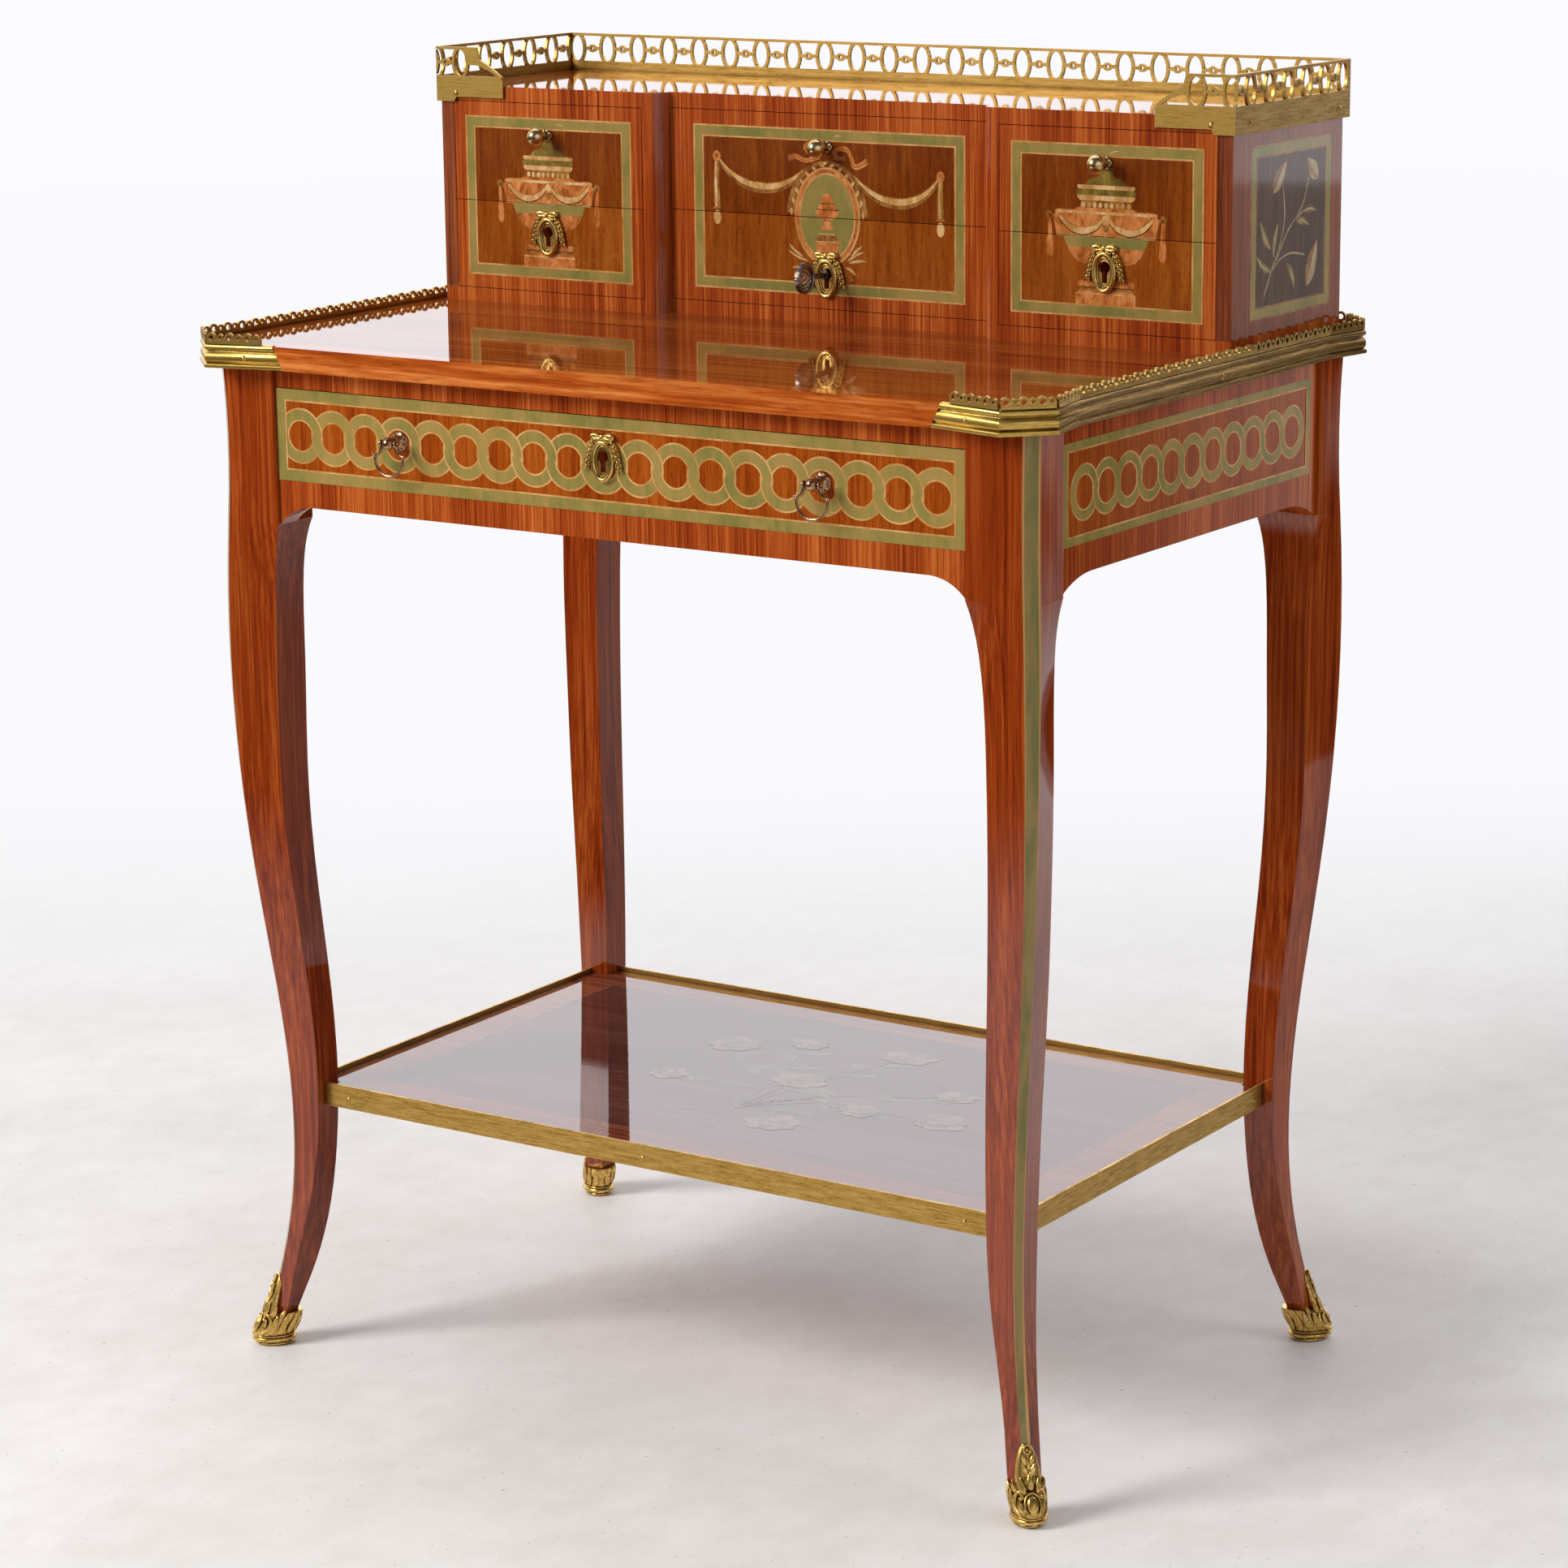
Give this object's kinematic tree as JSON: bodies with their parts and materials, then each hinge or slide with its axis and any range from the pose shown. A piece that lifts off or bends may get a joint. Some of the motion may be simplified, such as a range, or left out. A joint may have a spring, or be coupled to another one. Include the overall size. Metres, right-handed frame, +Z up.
{
  "type": "bonheur du jour writing table",
  "caption": "Small lady's writing table on cabriole legs, with a frieze drawer, a cabinet of small drawers on top, an undertier shelf, marquetry veneer and gilt brass mounts.",
  "frame": {"origin": "on the floor, under the middle of the table", "axes": "+X to the right of someone facing the drawers, +Y to the back, +Z up"},
  "size_m": [0.7, 0.486, 0.9355],
  "materials": {
    "leg_veneer": "french polish",
    "frieze_veneer": "french polish",
    "top_veneer": "french polish",
    "edge_wood": "french polish",
    "shelf_veneer": "french polish",
    "drawer_marquetry": "french polish",
    "cabinet_veneer": "french polish",
    "drawer_lining": "waxed",
    "gilt_brass": "worn gilt",
    "key_steel": "aged",
    "lock_iron": "aged"
  },
  "bodies": {
    "carcase": {"apron_back": "frieze_veneer", "apron_left": "frieze_veneer", "apron_right": "frieze_veneer", "brass_nails": "gilt_brass", "cabinet_back": "drawer_lining", "cabinet_base": "cabinet_veneer", "cabinet_side_left": "cabinet_veneer", "cabinet_side_right": "cabinet_veneer", "cabinet_top": "cabinet_veneer", "drawer_runners": "drawer_lining", "dust_boards": "drawer_lining", "front_top_rail": "frieze_veneer", "gallery_band": "gilt_brass", "leg_front_left": "leg_veneer", "leg_front_right": "leg_veneer", "leg_rear_left": "leg_veneer", "leg_rear_right": "leg_veneer", "partition_left": "cabinet_veneer", "partition_right": "cabinet_veneer", "sabots": "gilt_brass", "shelf_board": "shelf_veneer", "shelf_dowels": "drawer_lining", "shelf_edging": "gilt_brass", "table_top": "top_veneer", "top_front_edge": "edge_wood", "top_gallery": "gilt_brass", "top_moulding": "gilt_brass", "upper_gallery": "gilt_brass"},
    "long_drawer": {"long_drawer_front": "frieze_veneer", "long_drawer_box": "drawer_lining", "long_drawer_bottom": "drawer_lining", "long_drawer_lock": "lock_iron", "long_drawer_escutcheon": "gilt_brass", "handle_posts": "gilt_brass"},
    "handle_left": {"bail_left": "gilt_brass"},
    "handle_right": {"bail_right": "gilt_brass"},
    "drawer_upper_left": {"drawer_upper_left_front": "drawer_marquetry", "drawer_upper_left_box": "drawer_lining", "knob_left": "gilt_brass"},
    "drawer_lower_left": {"drawer_lower_left_front": "drawer_marquetry", "drawer_lower_left_box": "drawer_lining", "escutcheon_left": "gilt_brass", "lock_left": "lock_iron"},
    "drawer_upper_middle": {"drawer_upper_middle_front": "drawer_marquetry", "drawer_upper_middle_box": "drawer_lining", "knob_middle": "gilt_brass"},
    "drawer_lower_middle": {"drawer_lower_middle_front": "drawer_marquetry", "drawer_lower_middle_box": "drawer_lining", "escutcheon_middle": "gilt_brass", "lock_middle": "lock_iron"},
    "drawer_upper_right": {"drawer_upper_right_front": "drawer_marquetry", "drawer_upper_right_box": "drawer_lining", "knob_right": "gilt_brass"},
    "drawer_lower_right": {"drawer_lower_right_front": "drawer_marquetry", "drawer_lower_right_box": "drawer_lining", "escutcheon_right": "gilt_brass", "lock_right": "lock_iron"},
    "key": {"key": "key_steel"},
    "lock_bolt": {"lock_bolt_middle": "lock_iron"}
  },
  "joints": [
    {"name": "long_drawer_slide", "type": "slide", "parent": "carcase", "child": "long_drawer", "axis": [0, -1, 0], "range_m": [0, 0.3]},
    {"name": "handle_left_hinge", "type": "hinge", "parent": "long_drawer", "child": "handle_left", "pos_m": [-0.173, -0.227, 0.6875], "axis": [-1, 0, 0], "range_deg": [-25, 100]},
    {"name": "handle_right_hinge", "type": "hinge", "parent": "long_drawer", "child": "handle_right", "pos_m": [0.173, -0.227, 0.6875], "axis": [-1, 0, 0], "range_deg": [-25, 100]},
    {"name": "drawer_upper_left_slide", "type": "slide", "parent": "carcase", "child": "drawer_upper_left", "axis": [0, -1, 0], "range_m": [0, 0.12]},
    {"name": "drawer_lower_left_slide", "type": "slide", "parent": "carcase", "child": "drawer_lower_left", "axis": [0, -1, 0], "range_m": [0, 0.12]},
    {"name": "drawer_upper_middle_slide", "type": "slide", "parent": "carcase", "child": "drawer_upper_middle", "axis": [0, -1, 0], "range_m": [0, 0.11]},
    {"name": "drawer_lower_middle_slide", "type": "slide", "parent": "carcase", "child": "drawer_lower_middle", "axis": [0, -1, 0], "range_m": [0, 0.11]},
    {"name": "drawer_upper_right_slide", "type": "slide", "parent": "carcase", "child": "drawer_upper_right", "axis": [0, -1, 0], "range_m": [0, 0.12]},
    {"name": "drawer_lower_right_slide", "type": "slide", "parent": "carcase", "child": "drawer_lower_right", "axis": [0, -1, 0], "range_m": [0, 0.12]},
    {"name": "key_turn", "type": "hinge", "parent": "drawer_lower_middle", "child": "key", "pos_m": [0, 0.06, 0.7835], "axis": [0, 1, 0], "range_deg": [0, 180]},
    {"name": "lock_bolt_slide", "type": "slide", "parent": "drawer_lower_middle", "child": "lock_bolt", "axis": [0, 0, 1], "range_m": [0, 0.006]}
  ],
  "couplings": [
    {"joint": "key_turn", "follows": "lock_bolt_slide", "rad_per_m": 523}
  ]
}
